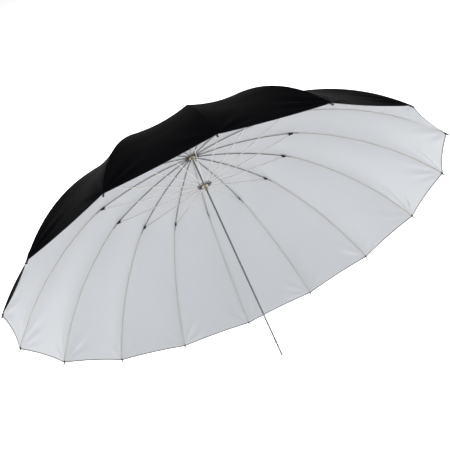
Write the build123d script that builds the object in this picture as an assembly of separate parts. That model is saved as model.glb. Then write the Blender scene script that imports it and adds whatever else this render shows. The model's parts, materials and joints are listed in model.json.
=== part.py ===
from build123d import *
from math import asin, atan2, ceil, cos, degrees, hypot, radians, sin, sqrt
import os

# A parabolic umbrella reflector with a black cover over a white lining.
# The shaft lies along Y: its free end is the origin, the crown is towards +Y and the open side faces -Y.
# Each rib is drawn in the XY plane, x being the distance from the shaft, and then turned about the shaft.
# Lengths are in millimetres and angles in degrees.

# ---- canopy and rib outline ----
rib_count = 16
rim_radius = 1030.0  # shaft axis to the end of a rib tip
crown_depth = 583.0  # ring of rib pivots down to the plane of the tips
elbow_radius = 485.0  # shaft axis to the elbow, where the two halves of a rib meet
elbow_drop = 79.0  # ring of rib pivots down to the elbow
inner_bow = 18.0  # rise of the inner half over its chord
outer_bow = 58.0  # rise of the outer half over its chord
furled_slope = 88.3  # slope of the line from rib pivot to stretcher pivot when furled
grip_length = 95.0  # free end of the shaft to the furled runner's pivots

# ---- shaft and catches ----
shaft_diameter = 8.0
shaft_wall = 0.8
shaft_top = 17.0  # shaft above the ring of rib pivots
catch_thickness = 1.8
catch_height = 3.2  # nose proud of the shaft
catch_nose = 13.0
catch_foot = 22.0
pin_diameter = 2.0
plug_flange = 3.0
plug_edge = 0.5  # flange smaller than the shaft
plug_stem = 14.0
ring_depth = 0.4  # stop ring's groove in the shaft
ring_reach = 2.0  # stop ring proud of the shaft
ring_thickness = 1.1

# ---- hubs ----
pivot_ring = 14.0  # shaft axis to the pivots, in the notch and in the runner
hub_rim = 3.2  # hub metal outside the pivots
hub_boss_wall = 4.0
notch_below = 4.0
notch_boss_length = 13.0
notch_slot_roof = 0.4  # air over a rib eye
runner_flange = 7.0
runner_sleeve_wall = 2.6
runner_above = 6.0
runner_below = 30.0
runner_collar = 4.0
window_length = 17.0
window_end = 4.0  # sleeve left below the window
wire_diameter = 1.0

# ---- ribs, brackets and stretchers ----
eye_radius = 2.2
eye_thickness = 2.0
neck_length = 9.0
rib_width = 3.0
rib_height = 3.0
rib_wall = 0.5
rib_inner_end = 5.0  # inner half stops this far before the outer half's pivot
bracket_wall = 0.7
bracket_drop = 6.0  # stretcher pivot below the rib
bracket_lead = 12.0  # outer half's pivot past the elbow
bracket_tail = 14.0
bracket_edge = 2.4
rivet_radius = 0.8
rivet_head = 0.4
rivet_head_radius = 1.4
rod_radius = 1.75
rod_start = 8.0
socket_radius = 2.5
socket_start = 5.5
socket_length = 24.0
cap_length = 22.0
cap_end = 2.0
stretcher_width = 2.4
stretcher_height = 3.2
stretcher_web = 0.6
stretcher_solid_end = 14.0

# ---- canopy cloth and crown ----
cloth = 0.5
cloth_length = 60.0  # longest piece of a panel that is one surface
crown_hole = 20.0
rosette_radius = 25.0
rosette_thickness = 1.0
hem_setback = 26.0  # cloth corner short of the rib's end
cap_nut_radius = 11.0
cap_nut_base = 2.5
cap_nut_dome = 7.0

# ---- clearances ----
sliding_gap = 0.06
pin_gap = 0.05
seat_gap = 0.05
side_gap = 0.3
cloth_gap = 0.3
seam_gap = 0.1

# ---- derived places ----
pitch = 360.0 / rib_count
half_pitch = radians(pitch / 2)
shaft_radius = shaft_diameter / 2
bore_radius = shaft_radius - shaft_wall
pin_radius = pin_diameter / 2
wire_radius = wire_diameter / 2
wire_hole = wire_radius + pin_gap + (eye_thickness / 2) ** 2 / (2 * pivot_ring)
hub_radius = pivot_ring + hub_rim
slot_floor = pivot_ring - eye_radius - side_gap
sleeve_radius = shaft_radius + sliding_gap + runner_sleeve_wall
boss_radius = shaft_radius + hub_boss_wall


class Bow:
    """Arc from start to end that swells to the left of its chord by rise."""

    def __init__(self, start, end, rise):
        chord = end - start
        self.radius = (chord.length**2 / 4 + rise**2) / (2 * rise)
        left = Vector(-chord.Y, chord.X).normalized()
        self.centre = (start + end) * 0.5 + left * (rise - self.radius)
        self.turn = 2 * asin(chord.length / (2 * self.radius))
        first = start - self.centre
        self.first_angle = atan2(first.Y, first.X)
        self.length = self.radius * self.turn

    def angle(self, along):
        return self.first_angle - along / self.radius

    def point(self, along, offset=0.0):
        out = Vector(cos(self.angle(along)), sin(self.angle(along)))
        return self.centre + out * (self.radius + offset)

    def tangent(self, along):
        return Vector(sin(self.angle(along)), -cos(self.angle(along)))

    def arc(self, first, last, offset):
        middle = self.point((first + last) / 2, offset)
        return ThreePointArc(self.point(first, offset), middle, self.point(last, offset))

    def arcs(self, first, last, offset):
        """The same arc in equal lengths, none longer than the cloth's."""
        count = ceil(abs(last - first) / cloth_length)
        ends = [first + (last - first) * number / count for number in range(count + 1)]
        return [self.arc(near, far, offset) for near, far in zip(ends, ends[1:])]

    def band(self, first, last, low, high):
        """Flat strip between two offsets of the arc."""
        top = self.arc(first, last, high)
        foot = self.arc(last, first, low)
        return make_face([top, Line(top @ 1, foot @ 0), foot, Line(foot @ 1, top @ 0)])

    def round_bar(self, radius, first, last):
        """Round bar bent along the arc."""
        at = self.point(first)
        section = Plane(origin=(at.X, at.Y, 0), x_dir=(0, 0, 1), z_dir=tuple(self.tangent(first)))
        axis = Axis((self.centre.X, self.centre.Y, 0), (0, 0, -1))
        turned = degrees((last - first) / self.radius)
        return revolve(section * Circle(radius), axis, revolution_arc=turned)


# The elbow is placed from the crown, and every height below is then moved so that the free end is y = 0.
elbow_frame = Bow(Vector(pivot_ring, 0), Vector(elbow_radius, -elbow_drop), inner_bow)
elbow_along = elbow_frame.tangent(elbow_frame.length)
elbow_out = Vector(-elbow_along.Y, elbow_along.X)
stretcher_seat = elbow_frame.point(elbow_frame.length) - elbow_out * bracket_drop
link = hypot(stretcher_seat.X - pivot_ring, stretcher_seat.Y)
open_slope = degrees(atan2(-stretcher_seat.Y, stretcher_seat.X - pivot_ring))
pivot_y = grip_length + 2 * link * sin(radians(furled_slope))
rim_y = pivot_y - crown_depth

rib_pivot = Vector(pivot_ring, pivot_y)
elbow = Vector(elbow_radius, pivot_y - elbow_drop)
stretcher_pivot = elbow - elbow_out * bracket_drop
flex_pivot = elbow + elbow_along * bracket_lead
rib_tip = Vector(rim_radius, rim_y)
runner_pivot = Vector(pivot_ring, 2 * stretcher_pivot.Y - pivot_y)
inner_arc = Bow(rib_pivot, elbow, inner_bow)
outer_arc = Bow(flex_pivot, rib_tip, outer_bow)

runner_travel = runner_pivot.Y - grip_length

lining_low = socket_radius + cloth_gap
lining_high = lining_low + cloth
cover_low = lining_high + cloth_gap
cover_high = cover_low + cloth
rosette_y = pivot_y + cover_high + cloth_gap
cap_nut_y = rosette_y + rosette_thickness

runner_top_y = runner_pivot.Y + runner_flange / 2 + runner_above
runner_bottom_y = runner_pivot.Y - runner_flange / 2 - runner_below
upper_catch_y = runner_bottom_y - side_gap
lower_catch_y = runner_bottom_y - runner_travel + window_end + side_gap
stop_pin_y = runner_top_y + pin_radius + side_gap
notch_rivet_y = pivot_y - notch_below - notch_boss_length / 2
ring_top_y = runner_bottom_y - runner_travel - side_gap
ring_low_y = ring_top_y - ring_thickness


def around(piece, number):
    """Turn a piece about the shaft to its place in the ring, number 0 lying on +X, towards +Z."""
    return Rot(0, -pitch * number, 0) * piece


def round_y(radius, low, high):
    """Cylinder on the shaft's axis."""
    return Pos(0, (low + high) / 2, 0) * Rot(90, 0, 0) * Cylinder(radius, high - low)


def round_z(radius, width, at):
    """Cylinder along Z, centred on the XY plane."""
    return Pos(at.X, at.Y, 0) * Cylinder(radius, width)


def round_x(radius, reach, y):
    """Cylinder along X through the shaft's axis."""
    return Pos(0, y, 0) * Rot(0, 90, 0) * Cylinder(radius, 2 * reach)


def block(x_low, x_high, y_low, y_high, width):
    """Box given by its span in X and Y, centred on the XY plane."""
    middle = Pos((x_low + x_high) / 2, (y_low + y_high) / 2, 0)
    return middle * Box(x_high - x_low, y_high - y_low, width)


def turned(outline):
    """Solid of revolution about the shaft from (radius, y) corners."""
    return revolve(make_face(Polyline(*outline, close=True)), Axis.Y)


def plate(face, width):
    """Face in the XY plane thickened both ways."""
    return extrude(face, width / 2, both=True)


def rivet(at, reach):
    """Rivet along Z whose heads bear on both sides, reach away from the XY plane."""
    heads = round_z(rivet_head_radius, 2 * (reach + rivet_head), at)
    heads -= round_z(rivet_head_radius, 2 * reach, at)
    return round_z(rivet_radius, 2 * reach + rivet_head, at) + heads


def ring_slots(width, y_low, y_high):
    """Radial slots, one for each rib, open at a hub's rim."""
    slot = block(slot_floor, hub_radius + 1, y_low, y_high, width)
    return [around(slot, number) for number in range(rib_count)]


# ---- catches ----
def catch_slot(shoulder_y, towards):
    """Slot in the shaft for a catch's nose, running from its shoulder in the direction towards."""
    ends = sorted((shoulder_y - towards * side_gap, shoulder_y + towards * (catch_nose + side_gap)))
    slot = block(0, shaft_radius + 1, ends[0], ends[1], catch_thickness + 2 * side_gap)
    return Rot(0, -90, 0) * slot


def catch(shoulder_y, towards):
    """Spring catch facing +Z: a square shoulder, a long ramp, and a foot that stays inside the shaft."""
    foot_top = sqrt(bore_radius**2 - (catch_thickness / 2) ** 2) - side_gap
    nose_top = shaft_radius + catch_height
    foot_low = foot_top - 1.8
    spare = (catch_foot - catch_nose) / 2
    nose = Polyline(
        (foot_low, shoulder_y),
        (nose_top, shoulder_y),
        (nose_top, shoulder_y + towards * 2.5),
        (shaft_radius, shoulder_y + towards * catch_nose),
        (foot_low, shoulder_y + towards * catch_nose),
        close=True,
    )
    ends = sorted((shoulder_y - towards * spare, shoulder_y + towards * (catch_nose + spare)))
    foot = block(foot_low, foot_top, ends[0], ends[1], catch_thickness)
    return Rot(0, -90, 0) * (plate(make_face(nose), catch_thickness) + foot)


def shaft():
    tube = round_y(shaft_radius, 0, pivot_y + shaft_top)
    tube -= round_y(bore_radius, -1, pivot_y + shaft_top + 1)
    tube -= round_x(pin_radius + pin_gap, shaft_radius + 1, stop_pin_y)
    tube -= round_x(pin_radius + pin_gap, shaft_radius + 1, notch_rivet_y)
    tube -= catch_slot(upper_catch_y, -1)
    tube -= catch_slot(lower_catch_y, 1)
    return tube - stop_groove()


def stop_groove():
    low = ring_low_y - seat_gap
    high = ring_top_y + seat_gap
    return round_y(shaft_radius + 1, low, high) - round_y(shaft_radius - ring_depth, low, high)


def shaft_end_plug():
    flange = round_y(shaft_radius - plug_edge, -plug_flange, 0)
    flange = fillet(flange.edges().group_by(Axis.Y)[0], plug_flange / 2)
    return flange + round_y(bore_radius - seat_gap, -plug_flange / 2, plug_stem)


def shaft_fasteners():
    """Stop pin above the runner, the rivet that holds the notch, and the stop ring under the furled runner."""
    stop_pin = round_x(pin_radius, sleeve_radius, stop_pin_y)
    notch_rivet = round_x(pin_radius, boss_radius, notch_rivet_y)
    ring = round_y(shaft_radius + ring_reach, ring_low_y, ring_top_y)
    ring -= round_y(shaft_radius - ring_depth + seat_gap, ring_low_y, ring_top_y)
    return [stop_pin, notch_rivet, ring]


# ---- hubs ----
def notch():
    low = pivot_y - notch_below
    bore = shaft_radius + seat_gap
    body = turned(
        [
            (bore, low - notch_boss_length),
            (boss_radius, low - notch_boss_length),
            (boss_radius, low),
            (hub_radius - 1, low),
            (hub_radius, low + 1),
            (hub_radius, rosette_y),
            (bore, rosette_y),
        ]
    )
    body -= ring_slots(eye_thickness + 2 * side_gap, low - 1, pivot_y + eye_radius + notch_slot_roof)
    body -= ring_torus(wire_radius + pin_gap)
    return body - round_x(pin_radius + pin_gap, boss_radius + 1, notch_rivet_y)


def ring_torus(radius):
    """Ring about the shaft through the rib pivots."""
    return revolve(Pos(pivot_ring, pivot_y) * Circle(radius), Axis.Y)


def runner():
    low = runner_pivot.Y - runner_flange / 2
    high = runner_pivot.Y + runner_flange / 2
    bore = shaft_radius + sliding_gap
    body = turned(
        [
            (bore, runner_bottom_y),
            (sleeve_radius + 1, runner_bottom_y),
            (sleeve_radius + 1, runner_bottom_y + runner_collar),
            (sleeve_radius, runner_bottom_y + runner_collar),
            (sleeve_radius, low - 2),
            (slot_floor - 1, low),
            (hub_radius - 1, low),
            (hub_radius, low + 1),
            (hub_radius, high - 1),
            (hub_radius - 1, high),
            (slot_floor - 1, high),
            (sleeve_radius, high + 2),
            (sleeve_radius, runner_top_y),
            (bore, runner_top_y),
        ]
    )
    body -= ring_slots(stretcher_width + 2 * side_gap, low - 1, high + 1)
    opening_low = runner_bottom_y + window_end
    window = block(0, hub_radius, opening_low, opening_low + window_length, catch_thickness + 4 * side_gap)
    return body - Rot(0, -90, 0) * window


# ---- ribs ----
def bar_between(first, last, height, width):
    """Straight bar in the XY plane."""
    along = last - first
    middle = (first + last) * 0.5
    slope = degrees(atan2(along.Y, along.X))
    return Pos(middle.X, middle.Y, 0) * Rot(0, 0, slope) * Box(along.length, height, width)


def elbow_place(along, out):
    """Point measured from the elbow along the rib and out of it."""
    return elbow + elbow_along * along + elbow_out * out


def inner_channel():
    """Steel channel, open towards the shaft, with a flat neck and an eye in the notch."""
    half = rib_height / 2
    stop = inner_arc.length
    body = plate(inner_arc.band(neck_length, stop, -half, half), rib_width)
    end = bar_between(elbow, elbow_place(bracket_lead - rib_inner_end, 0), rib_height, rib_width)
    body += end
    hollow = plate(inner_arc.band(neck_length + 6, stop - bracket_tail / 2, -half - 1, half - rib_wall),
                   rib_width - 2 * rib_wall)
    neck = plate(inner_arc.band(0, neck_length + 1, 0.2 - eye_radius, eye_radius - 0.7), eye_thickness)
    body = body - hollow + neck + round_z(eye_radius, eye_thickness, rib_pivot)
    body -= round_z(wire_hole, eye_thickness + 1, rib_pivot)
    return body - round_z(rivet_radius + pin_gap, rib_width + 1, elbow_place(-bracket_tail / 2, 0))


def bracket():
    """Folded plate over the rib's end: two cheeks that hold the pivots, joined by a saddle."""
    inside = rib_width / 2 + seat_gap
    outside = inside + bracket_wall
    saddle_low = rib_height / 2 + seat_gap
    saddle_high = saddle_low + bracket_wall
    saddle_end = bracket_lead - rib_inner_end
    corners = [
        elbow_place(-bracket_tail, saddle_high),
        elbow_place(bracket_lead, saddle_high),
        elbow_place(bracket_lead + bracket_edge, saddle_high - bracket_edge),
        elbow_place(bracket_lead, -bracket_edge),
        elbow_place(bracket_edge, -bracket_drop - bracket_edge / 2),
        elbow_place(0, -bracket_drop - bracket_edge),
        elbow_place(-bracket_edge, -bracket_drop - bracket_edge / 2),
        elbow_place(-bracket_tail, -rib_height / 2),
    ]
    outline = make_face(Polyline(*corners, close=True))
    body = plate(outline, 2 * outside) - plate(outline, 2 * inside)
    middle = (saddle_low + saddle_high) / 2
    saddle = bar_between(elbow_place(-bracket_tail, middle), elbow_place(saddle_end, middle), bracket_wall,
                         2 * outside)
    body += saddle
    for at in bracket_rivets():
        body -= round_z(rivet_radius + pin_gap, 2 * outside + 1, at)
    return body


def bracket_rivets():
    return [stretcher_pivot, flex_pivot, elbow_place(-bracket_tail / 2, 0)]


def inner_rib():
    reach = rib_width / 2 + seat_gap + bracket_wall + seat_gap
    rivets = [rivet(at, reach) for at in bracket_rivets()]
    return [inner_channel(), bracket()] + rivets


def outer_rib():
    """Glass-fibre rod in a pivoted metal socket, with a cap on its tip."""
    rod = outer_arc.round_bar(rod_radius, rod_start, outer_arc.length - cap_end)
    socket_end = socket_start + socket_length
    socket = outer_arc.round_bar(socket_radius, socket_start, socket_end)
    socket -= outer_arc.round_bar(rod_radius + seat_gap, rod_start - seat_gap, socket_end + 1)
    tongue = plate(outer_arc.band(0, socket_start + 1, -eye_radius, eye_radius), stretcher_width)
    socket += tongue + round_z(eye_radius, stretcher_width, flex_pivot)
    socket -= round_z(rivet_radius + pin_gap, stretcher_width + 1, flex_pivot)
    cap = outer_arc.round_bar(socket_radius, outer_arc.length - cap_length, outer_arc.length)
    hollow_end = outer_arc.length - cap_end + seat_gap
    cap -= outer_arc.round_bar(rod_radius + seat_gap, outer_arc.length - cap_length - 1, hollow_end)
    return [rod, socket, cap]


def stretcher():
    """Steel channel with an eye at each end, and its own pin at the runner."""
    along = (stretcher_pivot - runner_pivot).normalized()
    body = bar_between(runner_pivot, stretcher_pivot, stretcher_height, stretcher_width)
    groove_low = runner_pivot + along * stretcher_solid_end
    groove_high = stretcher_pivot - along * stretcher_solid_end
    lift = Vector(-along.Y, along.X) * stretcher_web
    body -= bar_between(groove_low + lift, groove_high + lift, stretcher_height,
                        stretcher_width - 2 * stretcher_web)
    for at, hole in ((runner_pivot, wire_radius), (stretcher_pivot, rivet_radius)):
        body += round_z(eye_radius, stretcher_width, at)
        body -= round_z(hole + pin_gap, stretcher_width + 1, at)
    pin = round_z(wire_radius, stretcher_width + side_gap, runner_pivot)
    return [body, pin]


# ---- canopy and crown ----
def canopy_section(low, high):
    """Section of the cloth in a rib's plane, between two offsets from the rib's middle line."""
    start = crown_hole - pivot_ring
    stop = outer_arc.length - hem_setback
    top = inner_arc.arcs(start, inner_arc.length, high)
    top += [Line(inner_arc.point(inner_arc.length, high), outer_arc.point(0, high))]
    top += outer_arc.arcs(0, stop, high)
    foot = outer_arc.arcs(stop, 0, low)
    foot += [Line(outer_arc.point(0, low), inner_arc.point(inner_arc.length, low))]
    foot += inner_arc.arcs(inner_arc.length, start, low)
    ends = [Line(top[-1] @ 1, foot[0] @ 0), Line(foot[-1] @ 1, top[0] @ 0)]
    return make_face(top + foot + ends)


def gore(low, high):
    """One panel: straight across from rib to rib, curved along them."""
    across = (-sin(half_pitch), 0, cos(half_pitch))
    sheet = extrude(canopy_section(low, high), 2 * rim_radius * sin(half_pitch) + 10, dir=across)
    apex = Vector(cos(half_pitch), sin(half_pitch)) * seam_gap / (2 * sin(half_pitch))
    reach = 2 * rim_radius
    near_side = apex + Vector(reach, 0)
    far_side = apex + Vector(cos(2 * half_pitch), sin(2 * half_pitch)) * reach
    wedge_face = make_face(Polyline(apex, near_side, far_side, close=True))
    wedge = extrude(Plane.XZ * wedge_face, 2 * pivot_y, both=True)
    return sheet & wedge


def canopy(low, high):
    panel = gore(low, high)
    return [around(panel, number) for number in range(rib_count)]


def rosette():
    disc = round_y(rosette_radius, rosette_y, cap_nut_y)
    return disc - round_y(shaft_radius + seat_gap, rosette_y, cap_nut_y)


def ferrule_cap():
    """Cap nut with a domed top over the shaft's end."""
    shaft_end = pivot_y + shaft_top
    dome_top = shaft_end + 3
    body = round_y(cap_nut_radius, cap_nut_y, cap_nut_y + cap_nut_base)
    dome = round_y(cap_nut_dome, cap_nut_y, dome_top)
    dome = fillet(dome.edges().group_by(Axis.Y)[-1], cap_nut_dome / 2)
    return body + dome - round_y(shaft_radius + seat_gap, cap_nut_y - 1, shaft_end + seat_gap)


def write(name, *solids):
    shape = solids[0] if len(solids) == 1 else Compound(children=list(solids))
    export_step(shape, os.path.join("parts", name + ".step"))


def main():
    os.makedirs("parts", exist_ok=True)
    write("shaft", shaft())
    write("shaft_end_plug", shaft_end_plug())
    write("shaft_fasteners", *shaft_fasteners())
    write("notch", notch())
    write("notch_wire", ring_torus(wire_radius))
    write("runner", runner())
    write("upper_catch", catch(upper_catch_y, -1))
    write("lower_catch", catch(lower_catch_y, 1))
    write("rosette", rosette())
    write("ferrule_cap", ferrule_cap())
    write("white_lining", *canopy(lining_low, lining_high))
    write("black_cover", *canopy(cover_low, cover_high))
    families = {"inner_rib": inner_rib(), "outer_rib": outer_rib(), "stretcher": stretcher()}
    for family, pieces in families.items():
        for number in range(rib_count):
            write(f"{family}_{number + 1:02d}", *[around(piece, number) for piece in pieces])


main()
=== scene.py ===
import json
import random
from math import asin, atan2, cos, exp, pi, radians, sin

import bmesh
import bpy
from bpy.props import FloatProperty, FloatVectorProperty, IntProperty, PointerProperty
from mathutils import Matrix, Vector


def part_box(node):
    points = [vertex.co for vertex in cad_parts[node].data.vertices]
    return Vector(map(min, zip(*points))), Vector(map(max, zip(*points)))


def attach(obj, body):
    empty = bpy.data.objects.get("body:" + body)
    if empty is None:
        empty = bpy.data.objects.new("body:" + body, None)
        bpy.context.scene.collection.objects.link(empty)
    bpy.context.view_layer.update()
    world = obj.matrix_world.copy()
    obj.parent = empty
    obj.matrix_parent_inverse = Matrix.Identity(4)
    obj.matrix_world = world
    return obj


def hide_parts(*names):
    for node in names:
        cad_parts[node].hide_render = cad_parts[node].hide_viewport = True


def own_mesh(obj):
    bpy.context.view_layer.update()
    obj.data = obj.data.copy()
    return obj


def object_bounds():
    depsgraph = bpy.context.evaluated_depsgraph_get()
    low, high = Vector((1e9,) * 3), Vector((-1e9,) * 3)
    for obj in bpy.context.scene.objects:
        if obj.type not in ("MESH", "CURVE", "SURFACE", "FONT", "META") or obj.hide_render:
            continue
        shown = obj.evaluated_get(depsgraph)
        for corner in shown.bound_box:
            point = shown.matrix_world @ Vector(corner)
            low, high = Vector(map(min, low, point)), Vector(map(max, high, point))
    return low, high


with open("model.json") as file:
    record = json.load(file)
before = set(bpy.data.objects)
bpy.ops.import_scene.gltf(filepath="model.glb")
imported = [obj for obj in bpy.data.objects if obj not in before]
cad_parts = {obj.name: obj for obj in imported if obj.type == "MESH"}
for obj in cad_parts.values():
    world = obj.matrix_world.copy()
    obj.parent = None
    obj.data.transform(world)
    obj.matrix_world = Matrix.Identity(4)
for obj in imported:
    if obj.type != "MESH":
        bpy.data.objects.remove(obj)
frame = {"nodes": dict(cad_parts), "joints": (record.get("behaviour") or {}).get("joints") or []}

bl_info = {
    "name": "Umbrella Reflector",
    "version": (1, 0, 0),
    "blender": (4, 5, 0),
    "location": "3D View > Sidebar > Umbrella",
    "description": "Builds the cloth, rods and finishes of an umbrella reflector around its packed frame",
    "category": "Object",
}

CAD_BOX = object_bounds()
JOINTS = {joint["name"]: joint for joint in frame["joints"]}
RIB_COUNT = sum(name.startswith("inner_rib") for name in frame["nodes"])
PITCH = 2 * pi / RIB_COUNT
CROWN = Vector((0, 1, 0))
MERGE_DISTANCE = 1e-6
TINY = 1e-9
TURNED_SEGMENTS = 16


# ---------------------------------------------------------------- settings
class CanopySettings(bpy.types.PropertyGroup):
    lining_offset: FloatProperty(
        name="Lining offset", description="Rib's middle line to the middle of the white cloth",
        default=0.00305, unit="LENGTH")
    layer_gap: FloatProperty(
        name="Layer gap", description="Middle of the white cloth to the middle of the black cloth",
        default=0.0008, unit="LENGTH")
    cloth_thickness: FloatProperty(
        name="Cloth thickness", description="Thickness of each layer",
        default=0.0004, unit="LENGTH")
    crown_hole: FloatProperty(
        name="Crown hole", description="Shaft axis to the inner edge of the cloth",
        default=0.0182, unit="LENGTH")
    corner_setback: FloatProperty(
        name="Corner setback", description="Cloth corner short of the rib's end",
        default=0.0105, unit="LENGTH")
    panel_radius: FloatProperty(
        name="Panel radius", description="Radius of the cloth across a panel, which dips between its ribs",
        default=0.62, unit="LENGTH")
    hem_rise: FloatProperty(
        name="Hem rise", description="Rise of the hem towards the crown between two tips",
        default=0.007, unit="LENGTH")
    hem_calm: FloatProperty(
        name="Hem calm", description="Share of the dip that the taut hem leaves at the rim",
        default=0.22, subtype="FACTOR", min=0, max=1)
    hem_reach: FloatProperty(
        name="Hem reach", description="Share of the rib over which the hem pulls the dip flat",
        default=0.25, subtype="FACTOR", min=0.01, max=1)
    wrinkle_height: FloatProperty(
        name="Wrinkle height", description="Height of the folds that run out from a tip",
        default=0.0060, unit="LENGTH")
    wrinkle_reach: FloatProperty(
        name="Wrinkle reach", description="Distance from the tip where those folds are highest",
        default=0.095, unit="LENGTH")
    elbow_ease: FloatProperty(
        name="Elbow ease", description="Length on each side of the elbow where the cloth rounds its bend",
        default=0.18, unit="LENGTH")
    rows_inner: IntProperty(
        name="Inner rows", description="Rows of cloth inside the elbow", default=40, min=4)
    rows_outer: IntProperty(
        name="Outer rows", description="Rows of cloth outside the elbow", default=80, min=4)
    columns: IntProperty(
        name="Columns", description="Columns of cloth from a rib to mid panel", default=20, min=2)
    furled_share: FloatProperty(
        name="Furled share", description="Share of a panel's width that is left when furled",
        default=0.05, subtype="FACTOR", min=0.01, max=1)
    hem_width: FloatProperty(
        name="Hem width", description="Width of the binding tape at the rim",
        default=0.006, unit="LENGTH")
    seam_width: FloatProperty(
        name="Seam width", description="Stitched seam on each side of a rib",
        default=0.005, unit="LENGTH")
    lining_colour: FloatVectorProperty(
        name="Lining colour", description="White satin",
        default=(0.56, 0.577, 0.602), subtype="COLOR", size=3)
    cover_colour: FloatVectorProperty(
        name="Cover colour", description="Black coated cloth",
        default=(0.0018, 0.0018, 0.0026), subtype="COLOR", size=3)
    hem_colour: FloatVectorProperty(
        name="Hem colour", description="Binding tape of the rim",
        default=(0.16, 0.155, 0.15), subtype="COLOR", size=3)


class RibSettings(bpy.types.PropertyGroup):
    inner_bow: FloatProperty(
        name="Inner bow", description="Rise of a rib's inner half over its chord",
        default=0.018, unit="LENGTH")
    outer_bow: FloatProperty(
        name="Outer bow", description="Rise of a rib's outer half over its chord",
        default=0.058, unit="LENGTH")
    bracket_drop: FloatProperty(
        name="Bracket drop", description="Stretcher pivot below the rib",
        default=0.006, unit="LENGTH")
    bracket_lead: FloatProperty(
        name="Bracket lead", description="Outer half's pivot past the elbow",
        default=0.012, unit="LENGTH")
    rod_radius: FloatProperty(
        name="Rod radius", description="Glass-fibre rod",
        default=0.00175, unit="LENGTH")
    socket_radius: FloatProperty(
        name="Socket radius", description="Metal socket and tip sleeve on the rod",
        default=0.0025, unit="LENGTH")
    tip_radius: FloatProperty(
        name="Tip radius", description="Round end of a tip cap",
        default=0.0036, unit="LENGTH")
    dark_hub: FloatProperty(
        name="Dark eyes", description="Shaft axis to the end of the dark eyes of ribs and stretchers",
        default=0.036, unit="LENGTH")
    dark_elbow: FloatProperty(
        name="Dark elbow", description="Shaft axis to the start of the dark elbow brackets",
        default=0.473, unit="LENGTH")
    thread_radius: FloatProperty(
        name="Thread", description="Radius of the thread that whips the cloth to a tip",
        default=0.0005, unit="LENGTH")
    pivot_wire: FloatProperty(
        name="Pivot wire", description="Radius of the ring wire through the stretchers' eyes",
        default=0.0005, unit="LENGTH")
    rod_colour: FloatVectorProperty(
        name="Rod colour", description="Glass fibre in resin",
        default=(0.60, 0.565, 0.51), subtype="COLOR", size=3)
    steel_colour: FloatVectorProperty(
        name="Steel colour", description="Zinc-plated channel",
        default=(0.42, 0.41, 0.39), subtype="COLOR", size=3)
    stretcher_colour: FloatVectorProperty(
        name="Stretcher colour", description="Bright tinned stretcher",
        default=(0.74, 0.72, 0.68), subtype="COLOR", size=3)
    hub_colour: FloatVectorProperty(
        name="Hub colour", description="Dull nickel over brass",
        default=(0.52, 0.47, 0.38), subtype="COLOR", size=3)
    shaft_colour: FloatVectorProperty(
        name="Shaft colour", description="Drawn steel tube",
        default=(0.26, 0.26, 0.265), subtype="COLOR", size=3)
    dark_colour: FloatVectorProperty(
        name="Dark colour", description="Blued steel and black plastic",
        default=(0.02, 0.02, 0.022), subtype="COLOR", size=3)


class StageSettings(bpy.types.PropertyGroup):
    camera_place: FloatVectorProperty(
        name="Camera place", description="Where the camera stands",
        default=(-0.2654, -0.6007, 2.7418), subtype="XYZ", size=3)
    camera_turn: FloatVectorProperty(
        name="Camera turn", description="The camera's turns about X, Y and Z",
        default=(radians(24.636), radians(4.636), radians(-22.397)), subtype="EULER", size=3)
    camera_lens: FloatProperty(
        name="Camera lens", description="Focal length in millimetres on a 36 mm sensor", default=52.87)
    floor_drop: FloatProperty(
        name="Floor drop", description="Floor below the object's lowest point",
        default=1.2, unit="LENGTH")
    floor_reach: FloatProperty(
        name="Floor reach", description="Middle of the floor to each of its edges",
        default=14.0, unit="LENGTH")
    floor_colour: FloatVectorProperty(
        name="Floor colour", description="Plain pale floor",
        default=(0.90, 0.90, 0.90), subtype="COLOR", size=3)
    sky_strength: FloatProperty(
        name="Sky strength", description="Even light from all round", default=0.46)
    key_power: FloatProperty(
        name="Key power", description="Power of the large soft light, in watts", default=120.0)
    key_place: FloatVectorProperty(
        name="Key place", description="Where the large soft light stands",
        default=(0.0, -1.1, 3.7), subtype="XYZ", size=3)
    key_size: FloatProperty(
        name="Key size", description="Side of the large soft light",
        default=1.8, unit="LENGTH")
    fill_power: FloatProperty(
        name="Fill power", description="Power of the soft light on the cover's side, in watts",
        default=35.0)
    fill_place: FloatVectorProperty(
        name="Fill place", description="Where the soft light on the cover's side stands",
        default=(-3.6, 1.2, 1.6), subtype="XYZ", size=3)
    fill_size: FloatProperty(
        name="Fill size", description="Side of the soft light on the cover's side",
        default=2.0, unit="LENGTH")
    floor_power: FloatProperty(
        name="Floor power", description="Power of the light that brightens the floor, in watts",
        default=354.0)
    floor_light_size: FloatProperty(
        name="Floor light size", description="Side of the light that brightens the floor",
        default=7.0, unit="LENGTH")
    floor_light_drop: FloatProperty(
        name="Floor light drop", description="That light below the object's lowest point",
        default=0.1, unit="LENGTH")
    aim_height: FloatProperty(
        name="Aim", description="Point of the shaft axis that the lights aim at, from the shaft's end",
        default=0.7, unit="LENGTH")


# ---------------------------------------------------------------- rib line
class Bow:
    """Arc in a rib's own plane, from start to end, that swells to the left of its chord by rise."""

    def __init__(self, start, end, rise):
        chord = end - start
        self.radius = (chord.length_squared / 4 + rise * rise) / (2 * rise)
        left = Vector((-chord.y, chord.x)).normalized()
        self.centre = (start + end) / 2 + left * (rise - self.radius)
        self.length = self.radius * 2 * asin(chord.length / (2 * self.radius))
        first = start - self.centre
        self.first_angle = atan2(first.y, first.x)

    def point(self, along, offset=0.0):
        return self.centre + self.out(along) * (self.radius + offset)

    def out(self, along):
        angle = self.first_angle - along / self.radius
        return Vector((cos(angle), sin(angle)))

    def tangent(self, along):
        out = self.out(along)
        return Vector((out.y, -out.x))


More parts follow.
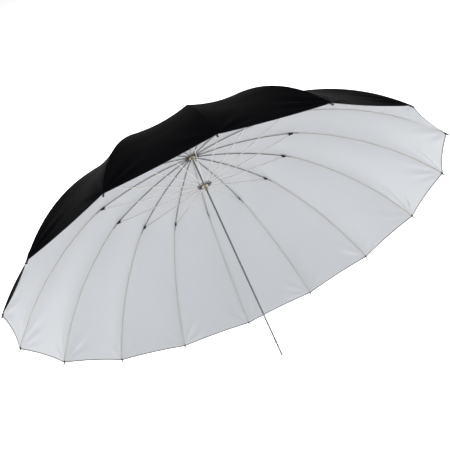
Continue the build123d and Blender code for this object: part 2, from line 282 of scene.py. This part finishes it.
class RibLine:
    """Middle line of rib 01 in the XY plane: inner arc, short straight at the elbow, outer arc."""

    def __init__(self, ribs):
        pivot = plane_point(JOINTS["rib_fold_01"]["pos_m"])
        stretcher = plane_point(JOINTS["stretcher_fold_01"]["pos_m"])
        self.flex = plane_point(JOINTS["rib_flex_01"]["pos_m"])
        across = self.flex - stretcher
        slope = atan2(across.y, across.x) - atan2(ribs.bracket_drop, ribs.bracket_lead)
        self.along = Vector((cos(slope), sin(slope)))
        elbow = self.flex - self.along * ribs.bracket_lead
        self.inner = Bow(pivot, elbow, ribs.inner_bow)
        low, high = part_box("outer_rib_01")
        rough_tip = Vector((high.x, low.y))
        rough = Bow(self.flex, rough_tip, ribs.outer_bow)
        end_way = rough.tangent(rough.length)
        self.tip = rough_tip + Vector((end_way.y, -end_way.x)) * ribs.socket_radius
        self.outer = Bow(self.flex, self.tip, ribs.outer_bow)
        self.lead = ribs.bracket_lead
        self.bend = self.inner.tangent(self.inner.length).angle(self.outer.tangent(0))
        self.length = self.inner.length + self.lead + self.outer.length

    def place(self, along):
        """Point and outward direction at a distance along the line from the notch."""
        if along <= self.inner.length:
            return self.inner.point(along), self.inner.out(along)
        past = along - self.inner.length
        if past <= self.lead:
            share = past / self.lead
            out = self.inner.out(self.inner.length).lerp(self.outer.out(0), share).normalized()
            return self.flex - self.along * (self.lead - past), out
        return self.outer.point(past - self.lead), self.outer.out(past - self.lead)


def plane_point(place):
    """A place in the plane of rib 01, without its Z."""
    return Vector((place[0], place[1]))


def turned(number):
    """Turn from rib 01 to the rib of that number, towards +Z."""
    return Matrix.Rotation(-PITCH * number, 4, "Y")


def label(number):
    """A rib's number as the frame's names end, from 01."""
    return f"{number % RIB_COUNT + 1:02d}"


# ---------------------------------------------------------------- materials
BAND_BLUR = 0.15  # share of a hem's or seam's width over which its edge fades
SEAM_SHOW = 0.35  # how much of its colour a stitched seam lays over the cloth
FINE_GRAIN = (300, 300, 300)  # scale of a metal's drawn lines along X, Y and Z, in cycles per metre
TURNED_GRAIN = (200, 900, 200)
DRAWN_GRAIN = (900, 6, 900)
CLOTH_ROUGHNESS_DRIFT = 0.06
METAL_POLISH, METAL_DULLING = 0.1, 0.14  # how far a metal's roughness falls and rises along its lines
PLASTIC_ROUGHNESS = (0.36, 0.52)


def shader(name, colour, roughness, metallic=0.0):
    """New material with its node tree and its shader."""
    material = bpy.data.materials.new(name)
    material.use_nodes = True
    principled = material.node_tree.nodes["Principled BSDF"]
    principled.inputs["Base Color"].default_value = (*colour, 1)
    principled.inputs["Roughness"].default_value = roughness
    principled.inputs["Metallic"].default_value = metallic
    return material, material.node_tree, principled


def add(tree, kind, **inputs):
    """New node with the values of its inputs set by name."""
    node = tree.nodes.new(kind)
    for name, value in inputs.items():
        node.inputs[name.replace("_", " ")].default_value = value
    return node


def coordinates(tree, source, scale):
    """Scaled copy of the Object or UV coordinates."""
    place = tree.nodes.new("ShaderNodeTexCoord")
    mapping = add(tree, "ShaderNodeMapping", Scale=scale)
    tree.links.new(place.outputs[source], mapping.inputs["Vector"])
    return mapping.outputs["Vector"]


def edge_band(tree, axis, width, strength=1.0):
    """Strength within a width of the cloth's rib, X, or hem, Y, and 0 further in."""
    place = tree.nodes.new("ShaderNodeUVMap")
    place.uv_map = "edges"
    split = tree.nodes.new("ShaderNodeSeparateXYZ")
    tree.links.new(place.outputs["UV"], split.inputs["Vector"])
    band = tree.nodes.new("ShaderNodeMapRange")
    band.inputs["From Min"].default_value = width * (1 - BAND_BLUR)
    band.inputs["From Max"].default_value = width * (1 + BAND_BLUR)
    band.inputs["To Min"].default_value = strength
    band.inputs["To Max"].default_value = 0.0
    tree.links.new(split.outputs[axis], band.inputs["Value"])
    return band.outputs["Result"]


def radius_band(tree, low, high, blend):
    """1 where the distance from the shaft is under low or over high, 0 between them."""
    place = tree.nodes.new("ShaderNodeTexCoord")
    flatten = tree.nodes.new("ShaderNodeVectorMath")
    flatten.operation = "MULTIPLY"
    flatten.inputs[1].default_value = (1, 0, 1)
    length = tree.nodes.new("ShaderNodeVectorMath")
    length.operation = "LENGTH"
    tree.links.new(place.outputs["Object"], flatten.inputs[0])
    tree.links.new(flatten.outputs["Vector"], length.inputs[0])
    total = tree.nodes.new("ShaderNodeMath")
    total.operation = "MAXIMUM"
    for number, (first, last) in enumerate(((low + blend, low), (high - blend, high))):
        band = tree.nodes.new("ShaderNodeMapRange")
        band.inputs["From Min"].default_value = first
        band.inputs["From Max"].default_value = last
        tree.links.new(length.outputs["Value"], band.inputs["Value"])
        tree.links.new(band.outputs["Result"], total.inputs[number])
    return total.outputs[0]


def over(tree, principled, value, colour):
    """Lays a colour over the base colour where value is 1."""
    below = principled.inputs["Base Color"].links[0].from_socket
    mix = tree.nodes.new("ShaderNodeMix")
    mix.data_type = "RGBA"
    mix.inputs["B"].default_value = (*colour, 1)
    tree.links.new(value, mix.inputs["Factor"])
    tree.links.new(below, mix.inputs["A"])
    tree.links.new(mix.outputs["Result"], principled.inputs["Base Color"])


def noise(tree, vector, scale, detail=3.0, roughness=0.5):
    """Cloudy value from 0 to 1."""
    node = add(tree, "ShaderNodeTexNoise", Scale=scale, Detail=detail, Roughness=roughness)
    tree.links.new(vector, node.inputs["Vector"])
    return node.outputs["Fac"]


def spread(tree, value, low, high):
    """Value from 0 to 1 mapped to low to high."""
    node = tree.nodes.new("ShaderNodeMapRange")
    node.inputs["To Min"].default_value = low
    node.inputs["To Max"].default_value = high
    tree.links.new(value, node.inputs["Value"])
    return node.outputs["Result"]


def tinted(tree, principled, value, dark, light):
    """Makes the base colour drift between two tints."""
    mix = tree.nodes.new("ShaderNodeMix")
    mix.data_type = "RGBA"
    mix.inputs["A"].default_value = (*dark, 1)
    mix.inputs["B"].default_value = (*light, 1)
    tree.links.new(value, mix.inputs["Factor"])
    tree.links.new(mix.outputs["Result"], principled.inputs["Base Color"])


def bumped(tree, principled, height, strength, distance):
    """Raises the surface by a height from 0 to 1, at most by a distance in metres."""
    bump = add(tree, "ShaderNodeBump", Strength=strength, Distance=distance)
    tree.links.new(height, bump.inputs["Height"])
    tree.links.new(bump.outputs["Normal"], principled.inputs["Normal"])


def shade(colour, factor):
    """Darker or lighter copy of a colour."""
    return tuple(channel * factor for channel in colour)


def weave_height(tree, threads, source="UV", axes=("X", "Y")):
    """Over and under of a plain weave, from coordinates in metres."""
    vector = coordinates(tree, source, (1, 1, 1))
    split = tree.nodes.new("ShaderNodeSeparateXYZ")
    tree.links.new(vector, split.inputs["Vector"])
    waves = []
    for axis in axes:
        turn = add(tree, "ShaderNodeMath")
        turn.operation = "MULTIPLY"
        turn.inputs[1].default_value = 2 * pi * threads
        tree.links.new(split.outputs[axis], turn.inputs[0])
        wave = tree.nodes.new("ShaderNodeMath")
        wave.operation = "SINE"
        tree.links.new(turn.outputs[0], wave.inputs[0])
        waves.append(wave.outputs[0])
    weave = tree.nodes.new("ShaderNodeMath")
    weave.operation = "MULTIPLY"
    tree.links.new(waves[0], weave.inputs[0])
    tree.links.new(waves[1], weave.inputs[1])
    return weave.outputs[0]


def cloth_material(name, colour, roughness, sheen, threads, drift, gloss, **weave):
    """Plain weave of so many threads per metre, whose colour drifts slowly by a share."""
    material, tree, principled = shader(name, colour, roughness)
    principled.inputs["Specular IOR Level"].default_value = gloss
    principled.inputs["Sheen Weight"].default_value = sheen
    principled.inputs["Sheen Roughness"].default_value = 0.4
    soft = noise(tree, coordinates(tree, "Object", (1, 1, 1)), scale=3.0, detail=4.0)
    tinted(tree, principled, soft, shade(colour, 1 - drift), shade(colour, 1 + drift))
    dull = spread(tree, soft, roughness - CLOTH_ROUGHNESS_DRIFT, roughness + CLOTH_ROUGHNESS_DRIFT)
    tree.links.new(dull, principled.inputs["Roughness"])
    bumped(tree, principled, weave_height(tree, threads, **weave), strength=0.25, distance=0.00008)
    return material


def hemmed(material, canopy, hem, seam):
    """Binding tape along the rim and a stitched seam along the rib."""
    tree = material.node_tree
    principled = tree.nodes["Principled BSDF"]
    over(tree, principled, edge_band(tree, "X", canopy.seam_width, SEAM_SHOW), seam)
    over(tree, principled, edge_band(tree, "Y", canopy.hem_width), hem)
    return material


def satin_lining(canopy):
    """White satin with a bound hem and pale seams."""
    cloth = cloth_material("white_satin", canopy.lining_colour, roughness=0.42, sheen=0.05,
                           threads=1400, drift=0.02, gloss=0.5)
    return hemmed(cloth, canopy, hem=canopy.hem_colour, seam=shade(canopy.lining_colour, 0.8))


def coated_nylon(canopy, name="black_nylon", **weave):
    """Dull black cloth with a coated back."""
    return cloth_material(name, canopy.cover_colour, roughness=0.70, sheen=0.0,
                          threads=1000, drift=0.15, gloss=0.012, **weave)


def nylon_patch(canopy):
    """Coated nylon cut flat across the shaft, with its weave along X and Z."""
    return coated_nylon(canopy, "patch_nylon", source="Object", axes=("X", "Z"))


def hemmed_nylon(canopy):
    """The cover's cloth, with its hem and seams."""
    colour = canopy.cover_colour
    return hemmed(coated_nylon(canopy), canopy, hem=shade(colour, 4), seam=shade(colour, 0.6))


def brushed_metal(name, colour, roughness, grain=FINE_GRAIN):
    """Metal with fine drawn lines and slow dull patches."""
    material, tree, principled = shader(name, colour, roughness, metallic=0.9)
    lines = noise(tree, coordinates(tree, "Object", grain), scale=1.0, detail=4.0)
    patches = noise(tree, coordinates(tree, "Object", (1, 1, 1)), scale=60.0)
    tinted(tree, principled, patches, shade(colour, 0.75), shade(colour, 1.15))
    dull = spread(tree, lines, roughness - METAL_POLISH, roughness + METAL_DULLING)
    tree.links.new(dull, principled.inputs["Roughness"])
    bumped(tree, principled, lines, strength=0.15, distance=0.0001)
    return material


def resin_rod(ribs):
    """Glass fibres that show through clear resin."""
    material, tree, principled = shader("glass_fibre", ribs.rod_colour, 0.45)
    principled.inputs["Coat Weight"].default_value = 0.2
    fibres = noise(tree, coordinates(tree, "Object", (1, 1, 1)), scale=900.0, detail=5.0, roughness=0.7)
    tinted(tree, principled, fibres, shade(ribs.rod_colour, 0.8), shade(ribs.rod_colour, 1.2))
    bumped(tree, principled, fibres, strength=0.2, distance=0.0001)
    return material


def moulded_plastic(name, colour):
    """Black plastic with a fine moulded grain."""
    material, tree, principled = shader(name, colour, sum(PLASTIC_ROUGHNESS) / 2)
    grain = noise(tree, coordinates(tree, "Object", (1, 1, 1)), scale=1500.0)
    tinted(tree, principled, grain, shade(colour, 0.8), shade(colour, 1.3))
    tree.links.new(spread(tree, grain, *PLASTIC_ROUGHNESS), principled.inputs["Roughness"])
    bumped(tree, principled, grain, strength=0.2, distance=0.0001)
    return material


# ---------------------------------------------------------------- pieces
def closed_mesh(shape, name):
    """Mesh of a closed bmesh, its faces turned outwards."""
    mesh = bpy.data.meshes.new(name)
    bmesh.ops.recalc_face_normals(shape, faces=shape.faces)
    shape.to_mesh(mesh)
    shape.free()
    return mesh


def place_mesh(mesh, name, material, body):
    """Smooth object at the origin, riding on a body."""
    mesh.materials.clear()
    mesh.materials.append(material)
    mesh.polygons.foreach_set("use_smooth", [True] * len(mesh.polygons))
    piece = bpy.data.objects.new(name, mesh)
    bpy.context.scene.collection.objects.link(piece)
    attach(piece, body)
    return piece


def ring_of(shape, name, material):
    """A copy of rib 01's shape on every rib's outer half, each named by its rib's number."""
    pattern = closed_mesh(shape, name)
    made = []
    for number in range(RIB_COUNT):
        mesh = pattern.copy()
        mesh.transform(turned(number))
        tag = label(number)
        made.append(place_mesh(mesh, f"{name}_{tag}", material, f"outer_rib_{tag}"))
    bpy.data.meshes.remove(pattern)
    return made


def lathe(outline, start, way):
    """Turned shape from (distance, radius) corners, its axis running from start in the direction way."""
    shape = bmesh.new()
    middle = Vector((start.x, start.y, 0))
    way = Vector((way.x, way.y, 0)).normalized()
    side = Vector((0, 0, 1))
    corners = [shape.verts.new(middle + way * far + side * radius) for far, radius in outline]
    edges = [shape.edges.new(pair) for pair in zip(corners, corners[1:])]
    bmesh.ops.spin(shape, geom=corners + edges, cent=middle, axis=way, angle=2 * pi,
                   steps=TURNED_SEGMENTS, use_merge=True)
    bmesh.ops.remove_doubles(shape, verts=shape.verts, dist=MERGE_DISTANCE)
    return shape


def bent_rod(bow, radius, first, last, steps, segments):
    """Round rod bent along an arc, with closed ends."""
    shape = bmesh.new()
    at = bow.point(first)
    tangent = bow.tangent(first)
    turn = Vector((0, 0, 1)).rotation_difference(Vector((tangent.x, tangent.y, 0))).to_matrix().to_4x4()
    made = bmesh.ops.create_circle(shape, cap_ends=True, segments=segments, radius=radius,
                                   matrix=Matrix.Translation((at.x, at.y, 0)) @ turn)
    cap = made["verts"][0].link_faces[0]
    bmesh.ops.spin(shape, geom=[cap], cent=(bow.centre.x, bow.centre.y, 0), axis=(0, 0, -1),
                   angle=(last - first) / bow.radius, steps=steps)
    return shape


def thin(piece, thickness):
    """Gives a sheet its thickness, the same on both sides."""
    solid = piece.modifiers.new("thickness", "SOLIDIFY")
    solid.thickness = thickness
    solid.offset = 0


# ---------------------------------------------------------------- cloth
FOLD_SEED = 40
FOLD_HEIGHTS = (0.5, 1.0)  # range of a fold's share of the wrinkle height
FOLD_COUNTS = (9, 13)  # range of the radians of wave per radian round the tip
LAST_COLUMN = 0.006  # share of the half panel that its last column takes
LAST_ROW = 0.002  # share of the strip's length that its last row takes


class Panel:
    """Shape of the cloth on one rib, out to the middle of the panels on both sides."""

    def __init__(self, line, canopy, number):
        self.line = line
        self.canopy = canopy
        self.number = number
        draw = random.Random(FOLD_SEED + number)
        self.folds = [(draw.uniform(*FOLD_HEIGHTS), draw.uniform(*FOLD_COUNTS), draw.uniform(0, 2 * pi))
                      for _ in range(2)]
        self.start = canopy.crown_hole - plane_point(JOINTS["rib_fold_01"]["pos_m"]).x
        self.split = line.inner.length + line.lead
        self.end = line.length - canopy.corner_setback

    def hem(self, share):
        """Where the cloth ends, at a share of the way from the rib to mid panel."""
        return self.end - self.canopy.hem_rise * bowl(share)

    def point(self, along, share, side, offset):
        """Point of the cloth: share runs from the rib, 0, to mid panel, 1, on one side of the rib."""
        at, out = self.line.place(along)
        rib = at + out * (offset + self.ease(along))
        half = PITCH / 2
        near = Vector((rib.x, rib.y, 0))
        far = Matrix.Rotation(-side * PITCH, 4, "Y") @ near
        place = near.lerp(far, share / 2)
        direction = Vector((out.x * cos(half), out.y, side * out.x * sin(half)))
        width = 2 * rib.x * sin(half)
        to_rim = max(0.0, (self.end - along) / self.end)
        calm = self.canopy.hem_calm + (1 - self.canopy.hem_calm) * min(1.0, to_rim / self.canopy.hem_reach)
        dip = width * width / (8 * self.canopy.panel_radius) * calm
        lift = self.fold(along, share * width / 2, side) * (1 - share * share) ** 2 - dip * bowl(share)
        return place + direction * lift

    def ease(self, along):
        """Lift off the rib that rounds the bend at the elbow, none at the elbow itself."""
        length = self.canopy.elbow_ease
        far = abs(along - self.split) / length
        return 0.0 if far > 1 else length * self.line.bend / 2 * far * (1 - far) ** 2

    def fold(self, along, across, side):
        """Height of the soft folds that fan out from the tip."""
        height, count, phase = self.folds[side > 0]
        up = max(0.0, self.end - along)
        far = (up * up + across * across) ** 0.5
        angle = atan2(up, across + TINY)
        reach = self.canopy.wrinkle_reach
        swell = (far / reach * exp(1 - far / reach)) ** 2
        return self.canopy.wrinkle_height * height * swell * sin(2 * angle) * sin(count * angle + phase)


def crowded(share, count, edge):
    """Share of an even grid's column or row, moved so that the last one is only as wide as edge."""
    last = 1 - 1 / count
    return 1.0 if share > (1 + last) / 2 else share / last * (1 - edge)


def bowl(share):
    """From 0 at the rib to 1 at mid panel, level there."""
    return share * (2 - share)


def cloth_strip(panel, outer, offset):
    """Grid of cloth on one rib, inside or outside the elbow.

    One UV map is the flat cloth in metres, and the other holds the distances to the rib and the hem.
    """
    canopy = panel.canopy
    rows = canopy.rows_outer if outer else canopy.rows_inner
    shape = bmesh.new()
    bmesh.ops.create_grid(shape, x_segments=2 * canopy.columns, y_segments=rows, size=1, calc_uvs=True)
    laid = shape.loops.layers.uv.active or shape.loops.layers.uv.new("UVMap")
    edges = shape.loops.layers.uv.new("edges")
    flat, to_edge = {}, {}
    for vert in shape.verts:
        across, up = vert.co.x, (vert.co.y + 1) / 2
        share = crowded(abs(across), canopy.columns, LAST_COLUMN)
        side = 1 if across > 0 else -1
        up = 1 - crowded(1 - up, rows, LAST_ROW) if outer else crowded(up, rows, LAST_ROW)
        first = panel.split if outer else panel.start
        last = panel.hem(share) if outer else panel.split
        along = first + (last - first) * up
        vert.co = panel.point(along, share, side, offset)
        width = panel.line.place(along)[0].x * sin(PITCH / 2)
        flat[vert] = (side * share * width, along)
        to_edge[vert] = (share * width, panel.hem(share) - along)
    for face in shape.faces:
        for loop in face.loops:
            loop[laid].uv = flat[loop.vert]
            loop[edges].uv = to_edge[loop.vert]
    for edge in shape.edges:
        on_rib = all(abs(flat[vert][0]) < TINY for vert in edge.verts)
        edge.smooth = not (edge.is_boundary or on_rib)
    bmesh.ops.transform(shape, matrix=turned(panel.number), verts=shape.verts)
    return shape


def face_out(shape):
    """Turns a sheet's faces towards the outside of the canopy."""
    leaning = sum(face.normal.dot(CROWN) * face.calc_area() for face in shape.faces)
    if leaning < 0:
        bmesh.ops.reverse_faces(shape, faces=shape.faces)


def furl(piece):
    """Gives a cloth piece its own copy of its mesh."""
    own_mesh(piece)


def sheet_size(shape):
    """Width and length of a sheet from its UV map, before it is hung, and its faces' area."""
    laid = shape.loops.layers.uv["UVMap"]
    spots = [loop[laid].uv for face in shape.faces for loop in face.loops]
    width = max(spot.x for spot in spots) - min(spot.x for spot in spots)
    length = max(spot.y for spot in spots) - min(spot.y for spot in spots)
    return width, length, sum(face.calc_area() for face in shape.faces)


def make_layer(name, material, node, offset):
    """One layer of cloth, in two strips on each rib that meet at the elbow."""
    canopy, line = bpy.context.scene.umbrella_canopy, RibLine(bpy.context.scene.umbrella_ribs)
    for number in range(RIB_COUNT):
        panel = Panel(line, canopy, number)
        for outer in (False, True):
            half = "outer" if outer else "inner"
            shape = cloth_strip(panel, outer, offset)
            shape.normal_update()
            face_out(shape)
            width, length, area = sheet_size(shape)
            mesh = bpy.data.meshes.new(name)
            shape.to_mesh(mesh)
            shape.free()
            rib = f"{half}_rib_{label(number)}"
            piece = place_mesh(mesh, f"{name}_{half}_{label(number)}", material, rib)
            thin(piece, canopy.cloth_thickness)
            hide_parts(node)
            furl(piece)


# ---------------------------------------------------------------- operators
class UMBRELLA_OT_lining(bpy.types.Operator):
    """Hang the white satin lining on the ribs"""

    bl_idname = "umbrella.lining"
    bl_label = "White lining"

    def execute(self, context):
        canopy = context.scene.umbrella_canopy
        make_layer("lining", satin_lining(canopy), "white_lining", canopy.lining_offset)
        return {"FINISHED"}


class UMBRELLA_OT_cover(bpy.types.Operator):
    """Hang the black cover over the lining"""

    bl_idname = "umbrella.cover"
    bl_label = "Black cover"

    def execute(self, context):
        canopy = context.scene.umbrella_canopy
        make_layer("cover", hemmed_nylon(canopy), "black_cover",
                   canopy.lining_offset + canopy.layer_gap)
        return {"FINISHED"}


class UMBRELLA_OT_stage(bpy.types.Operator):
    """Set the camera, the floor and the soft lights"""

    bl_idname = "umbrella.stage"
    bl_label = "Stage"

    def execute(self, context):
        stage = context.scene.umbrella_stage
        scene = context.scene
        scene.view_settings.view_transform = "Standard"
        data = bpy.data.cameras.new("camera")
        data.lens = stage.camera_lens
        data.clip_end = 50
        camera = bpy.data.objects.new("camera", data)
        scene.collection.objects.link(camera)
        camera.location = stage.camera_place
        camera.rotation_euler = stage.camera_turn
        scene.camera = camera
        low = CAD_BOX[0]
        floor_shape = bmesh.new()
        bmesh.ops.create_grid(floor_shape, x_segments=1, y_segments=1, size=stage.floor_reach)
        bmesh.ops.translate(floor_shape, vec=(0, 0, low.z - stage.floor_drop), verts=floor_shape.verts)
        mesh = bpy.data.meshes.new("floor")
        floor_shape.to_mesh(mesh)
        floor_shape.free()
        mesh.materials.append(shader("pale_floor", stage.floor_colour, 0.8)[0])
        floor = bpy.data.objects.new("floor", mesh)
        scene.collection.objects.link(floor)
        world = bpy.data.worlds.new("sky")
        world.use_nodes = True
        world.node_tree.nodes["Background"].inputs["Color"].default_value = (1, 1, 1, 1)
        world.node_tree.nodes["Background"].inputs["Strength"].default_value = stage.sky_strength
        scene.world = world
        middle = Vector((0, stage.aim_height, 0))
        under = Vector((0, stage.aim_height, low.z - stage.floor_light_drop))
        down = under - Vector((0, 0, 1))
        self.light("key", stage.key_place, middle, stage.key_size, stage.key_power)
        self.light("fill", stage.fill_place, middle, stage.fill_size, stage.fill_power)
        self.light("floor_light", under, down, stage.floor_light_size, stage.floor_power)
        return {"FINISHED"}

    def light(self, name, place, aim, size, power):
        """Square soft light at a place, aimed at a point."""
        data = bpy.data.lights.new(name, "AREA")
        data.size = size
        data.energy = power
        lamp = bpy.data.objects.new(name, data)
        bpy.context.scene.collection.objects.link(lamp)
        lamp.location = place
        lamp.rotation_euler = (aim - Vector(place)).to_track_quat("-Z", "Y").to_euler()


class UMBRELLA_OT_metal(bpy.types.Operator):
    """Give the shaft, hubs, inner ribs and stretchers their finishes"""

    bl_idname = "umbrella.metal"
    bl_label = "Metal parts"

    def execute(self, context):
        ribs, canopy = context.scene.umbrella_ribs, context.scene.umbrella_canopy
        steel = brushed_metal("rib_steel", ribs.steel_colour, 0.42)
        tinned = brushed_metal("stretcher_steel", ribs.stretcher_colour, 0.5)
        for metal in (steel, tinned):
            tree = metal.node_tree
            # Ribs and stretchers get a darker colour near the hub and on their dark elbow brackets; near
            # the hub the code only makes the colour darker
            darker_near_hub_and_elbow = radius_band(tree, ribs.dark_hub, ribs.dark_elbow, blend=0.002)
            over(tree, tree.nodes["Principled BSDF"], darker_near_hub_and_elbow, shade(ribs.dark_colour, 2))
        dark = brushed_metal("spring_steel", ribs.dark_colour, 0.45)
        hub = brushed_metal("hub_metal", ribs.hub_colour, 0.34, TURNED_GRAIN)
        tube = brushed_metal("shaft_steel", ribs.shaft_colour, 0.36, DRAWN_GRAIN)
        plastic = moulded_plastic("black_plastic", ribs.dark_colour)
        finishes = {
            "shaft": tube, "shaft_end_plug": plastic, "shaft_fasteners": dark,
            "notch": hub, "notch_wire": dark, "rosette": nylon_patch(canopy), "ferrule_cap": plastic,
            "runner": hub, "upper_catch": dark, "lower_catch": dark,
        }
        for number in range(RIB_COUNT):
            finishes[f"inner_rib_{label(number)}"] = steel
            finishes[f"stretcher_{label(number)}"] = tinned
        for name, finish in finishes.items():
            node = frame["nodes"][name]
            node.data.materials.clear()
            node.data.materials.append(finish)
        self.runner_wire(ribs, dark)
        return {"FINISHED"}

    def runner_wire(self, ribs, material):
        """Ring wire that holds the stretchers' eyes in the runner."""
        rib = plane_point(JOINTS["rib_fold_01"]["pos_m"])
        stretcher = plane_point(JOINTS["stretcher_fold_01"]["pos_m"])
        height = 2 * stretcher.y - rib.y
        wire_segments, ring_steps = 10, 96
        shape = bmesh.new()
        made = bmesh.ops.create_circle(shape, segments=wire_segments, radius=ribs.pivot_wire,
                                       matrix=Matrix.Translation((rib.x, height, 0)))
        loop = made["verts"] + list({edge for vert in made["verts"] for edge in vert.link_edges})
        bmesh.ops.spin(shape, geom=loop, cent=(0, height, 0), axis=(0, 1, 0), angle=2 * pi,
                       steps=ring_steps, use_merge=True)
        bmesh.ops.remove_doubles(shape, verts=shape.verts, dist=MERGE_DISTANCE)
        place_mesh(closed_mesh(shape, "runner_wire"), "runner_wire", material, "runner")


class UMBRELLA_OT_rods(bpy.types.Operator):
    """Make the glass-fibre rods with their sockets and tip caps"""

    bl_idname = "umbrella.rods"
    bl_label = "Rods and tips"

    def execute(self, context):
        ribs = context.scene.umbrella_ribs
        line = RibLine(ribs)
        self.rods(ribs, line)
        self.tips(ribs, line)
        self.whipping(ribs, line)
        self.sockets(ribs, line)
        return {"FINISHED"}

    def rods(self, ribs, line):
        """Bent rods, each from inside its socket to inside its tip cap."""
        in_socket, in_cap, steps, segments = 0.008, 0.002, 60, 12
        end = line.outer.length - in_cap
        shape = bent_rod(line.outer, ribs.rod_radius, in_socket, end, steps, segments)
        rods = ring_of(shape, "rod", resin_rod(ribs))
        for number, piece in enumerate(rods):
            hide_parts(f"outer_rib_{label(number)}")

    def tips(self, ribs, line):
        """Sleeve, collar and round end."""
        cap_length, ball_past, chamfer = 0.021, 0.0005, 0.0003
        chamfer_end, sleeve_end, collar_start, collar_end, neck = 0.0006, 0.011, 0.0116, 0.0128, 0.0134
        collar_rise, neck_drop = 0.0008, 0.0002
        ball_sweep, ball_steps = 130, 6
        ball, sleeve = ribs.tip_radius, ribs.socket_radius
        outline = [(0, ribs.rod_radius), (0, sleeve - chamfer), (chamfer_end, sleeve), (sleeve_end, sleeve),
                   (collar_start, sleeve + collar_rise), (collar_end, sleeve + collar_rise),
                   (neck, sleeve - neck_drop)]
        centre = cap_length - ball + ball_past
        for step in range(ball_steps + 1):
            angle = radians(ball_sweep - step * ball_sweep / ball_steps)
            outline.append((centre + ball * cos(angle), max(ball * sin(angle), 0.0)))
        start = line.outer.length - cap_length
        shape = lathe(outline, line.outer.point(start), line.outer.tangent(start))
        ring_of(shape, "tip_cap", moulded_plastic("tip_plastic", ribs.dark_colour))

    def whipping(self, ribs, line):
        """Turns of thread that bind the cloth's corner to the tip's sleeve."""
        turns, steps, from_end = 5, 4, 0.0185
        clearance, fullness = 0.0001, 1.1
        thread, end = ribs.thread_radius, line.outer.length
        inner, pitch = ribs.socket_radius + clearance, 2 * thread
        outline = [(0, inner)]
        for turn in range(turns):
            for step in range(steps + 1):
                angle = pi - step * pi / steps
                far = pitch * turn + thread + thread * cos(angle)
                outline.append((far, inner + thread * (1 + fullness * sin(angle))))
        outline.append((pitch * turns, inner))
        shape = lathe(outline, line.outer.point(end - from_end), line.outer.tangent(end))
        ring_of(shape, "whipping", moulded_plastic("thread", ribs.dark_colour))

    def sockets(self, ribs, line):
        """Tube crimped on the rod, with a flat tongue on the elbow's pin."""
        sleeve, rod, way = ribs.socket_radius, ribs.rod_radius, line.outer.tangent(0)
        nose, shoulder, full = 0.0045, 0.0048, 0.0065
        crimp_start, crimp_low, crimp_high, crimp_end = 0.022, 0.0224, 0.0236, 0.024
        lip, mouth = 0.0285, 0.0288
        outline = [(nose, 0.0), (shoulder, sleeve * 0.7), (full, sleeve), (crimp_start, sleeve),
                   (crimp_low, sleeve * 0.8), (crimp_high, sleeve * 0.8), (crimp_end, sleeve),
                   (lip, sleeve), (mouth, rod)]
        shape = lathe(outline, line.flex, way)
        tongue_length, tongue_width, tongue_thickness = 0.0095, 0.0042, 0.0022
        tongue_reach, tongue_rounding = 0.0028, 0.0018
        tongue = bmesh.ops.create_cube(shape, size=1)["verts"]
        size = Matrix.Diagonal((tongue_length, tongue_width, tongue_thickness, 1))
        turn = Matrix.Rotation(atan2(way.y, way.x), 4, "Z")
        middle = line.flex + way * tongue_reach
        place = Matrix.Translation((middle.x, middle.y, 0))
        bmesh.ops.transform(shape, matrix=place @ turn @ size, verts=tongue)
        corners = [edge for edge in {edge for vert in tongue for edge in vert.link_edges}
                   if abs((edge.verts[0].co - edge.verts[1].co).z) > tongue_thickness / 2]
        bmesh.ops.bevel(shape, geom=corners, offset=tongue_rounding, offset_type="OFFSET",
                        affect="EDGES", segments=4, profile=0.5, material=-1)
        ring_of(shape, "socket", brushed_metal("socket_steel", ribs.steel_colour, 0.4))


class UMBRELLA_PT_panel(bpy.types.Panel):
    """Lists the umbrella's builders and sizes"""

    bl_idname = "UMBRELLA_PT_panel"
    bl_label = "Umbrella reflector"
    bl_space_type = "VIEW_3D"
    bl_region_type = "UI"
    bl_category = "Umbrella"

    def draw(self, context):
        for operator in OPERATORS:
            self.layout.operator(operator.bl_idname)
        for settings in SETTINGS:
            group = getattr(context.scene, settings)
            for name in group.bl_rna.properties.keys():
                if name not in ("rna_type", "name"):
                    self.layout.prop(group, name)


OPERATORS = (
    UMBRELLA_OT_stage,
    UMBRELLA_OT_metal,
    UMBRELLA_OT_rods,
    UMBRELLA_OT_lining,
    UMBRELLA_OT_cover,
)
SETTINGS = {
    "umbrella_canopy": CanopySettings,
    "umbrella_ribs": RibSettings,
    "umbrella_stage": StageSettings,
}


def register():
    for cls in (*SETTINGS.values(), *OPERATORS, UMBRELLA_PT_panel):
        bpy.utils.register_class(cls)
    for name, cls in SETTINGS.items():
        setattr(bpy.types.Scene, name, PointerProperty(type=cls))


def unregister():
    for name in SETTINGS:
        delattr(bpy.types.Scene, name)
    for cls in reversed((*SETTINGS.values(), *OPERATORS, UMBRELLA_PT_panel)):
        bpy.utils.unregister_class(cls)


def main():
    register()
    for operator in OPERATORS:
        group, name = operator.bl_idname.split(".")
        getattr(getattr(bpy.ops, group), name)()


if __name__ == "__main__":
    main()
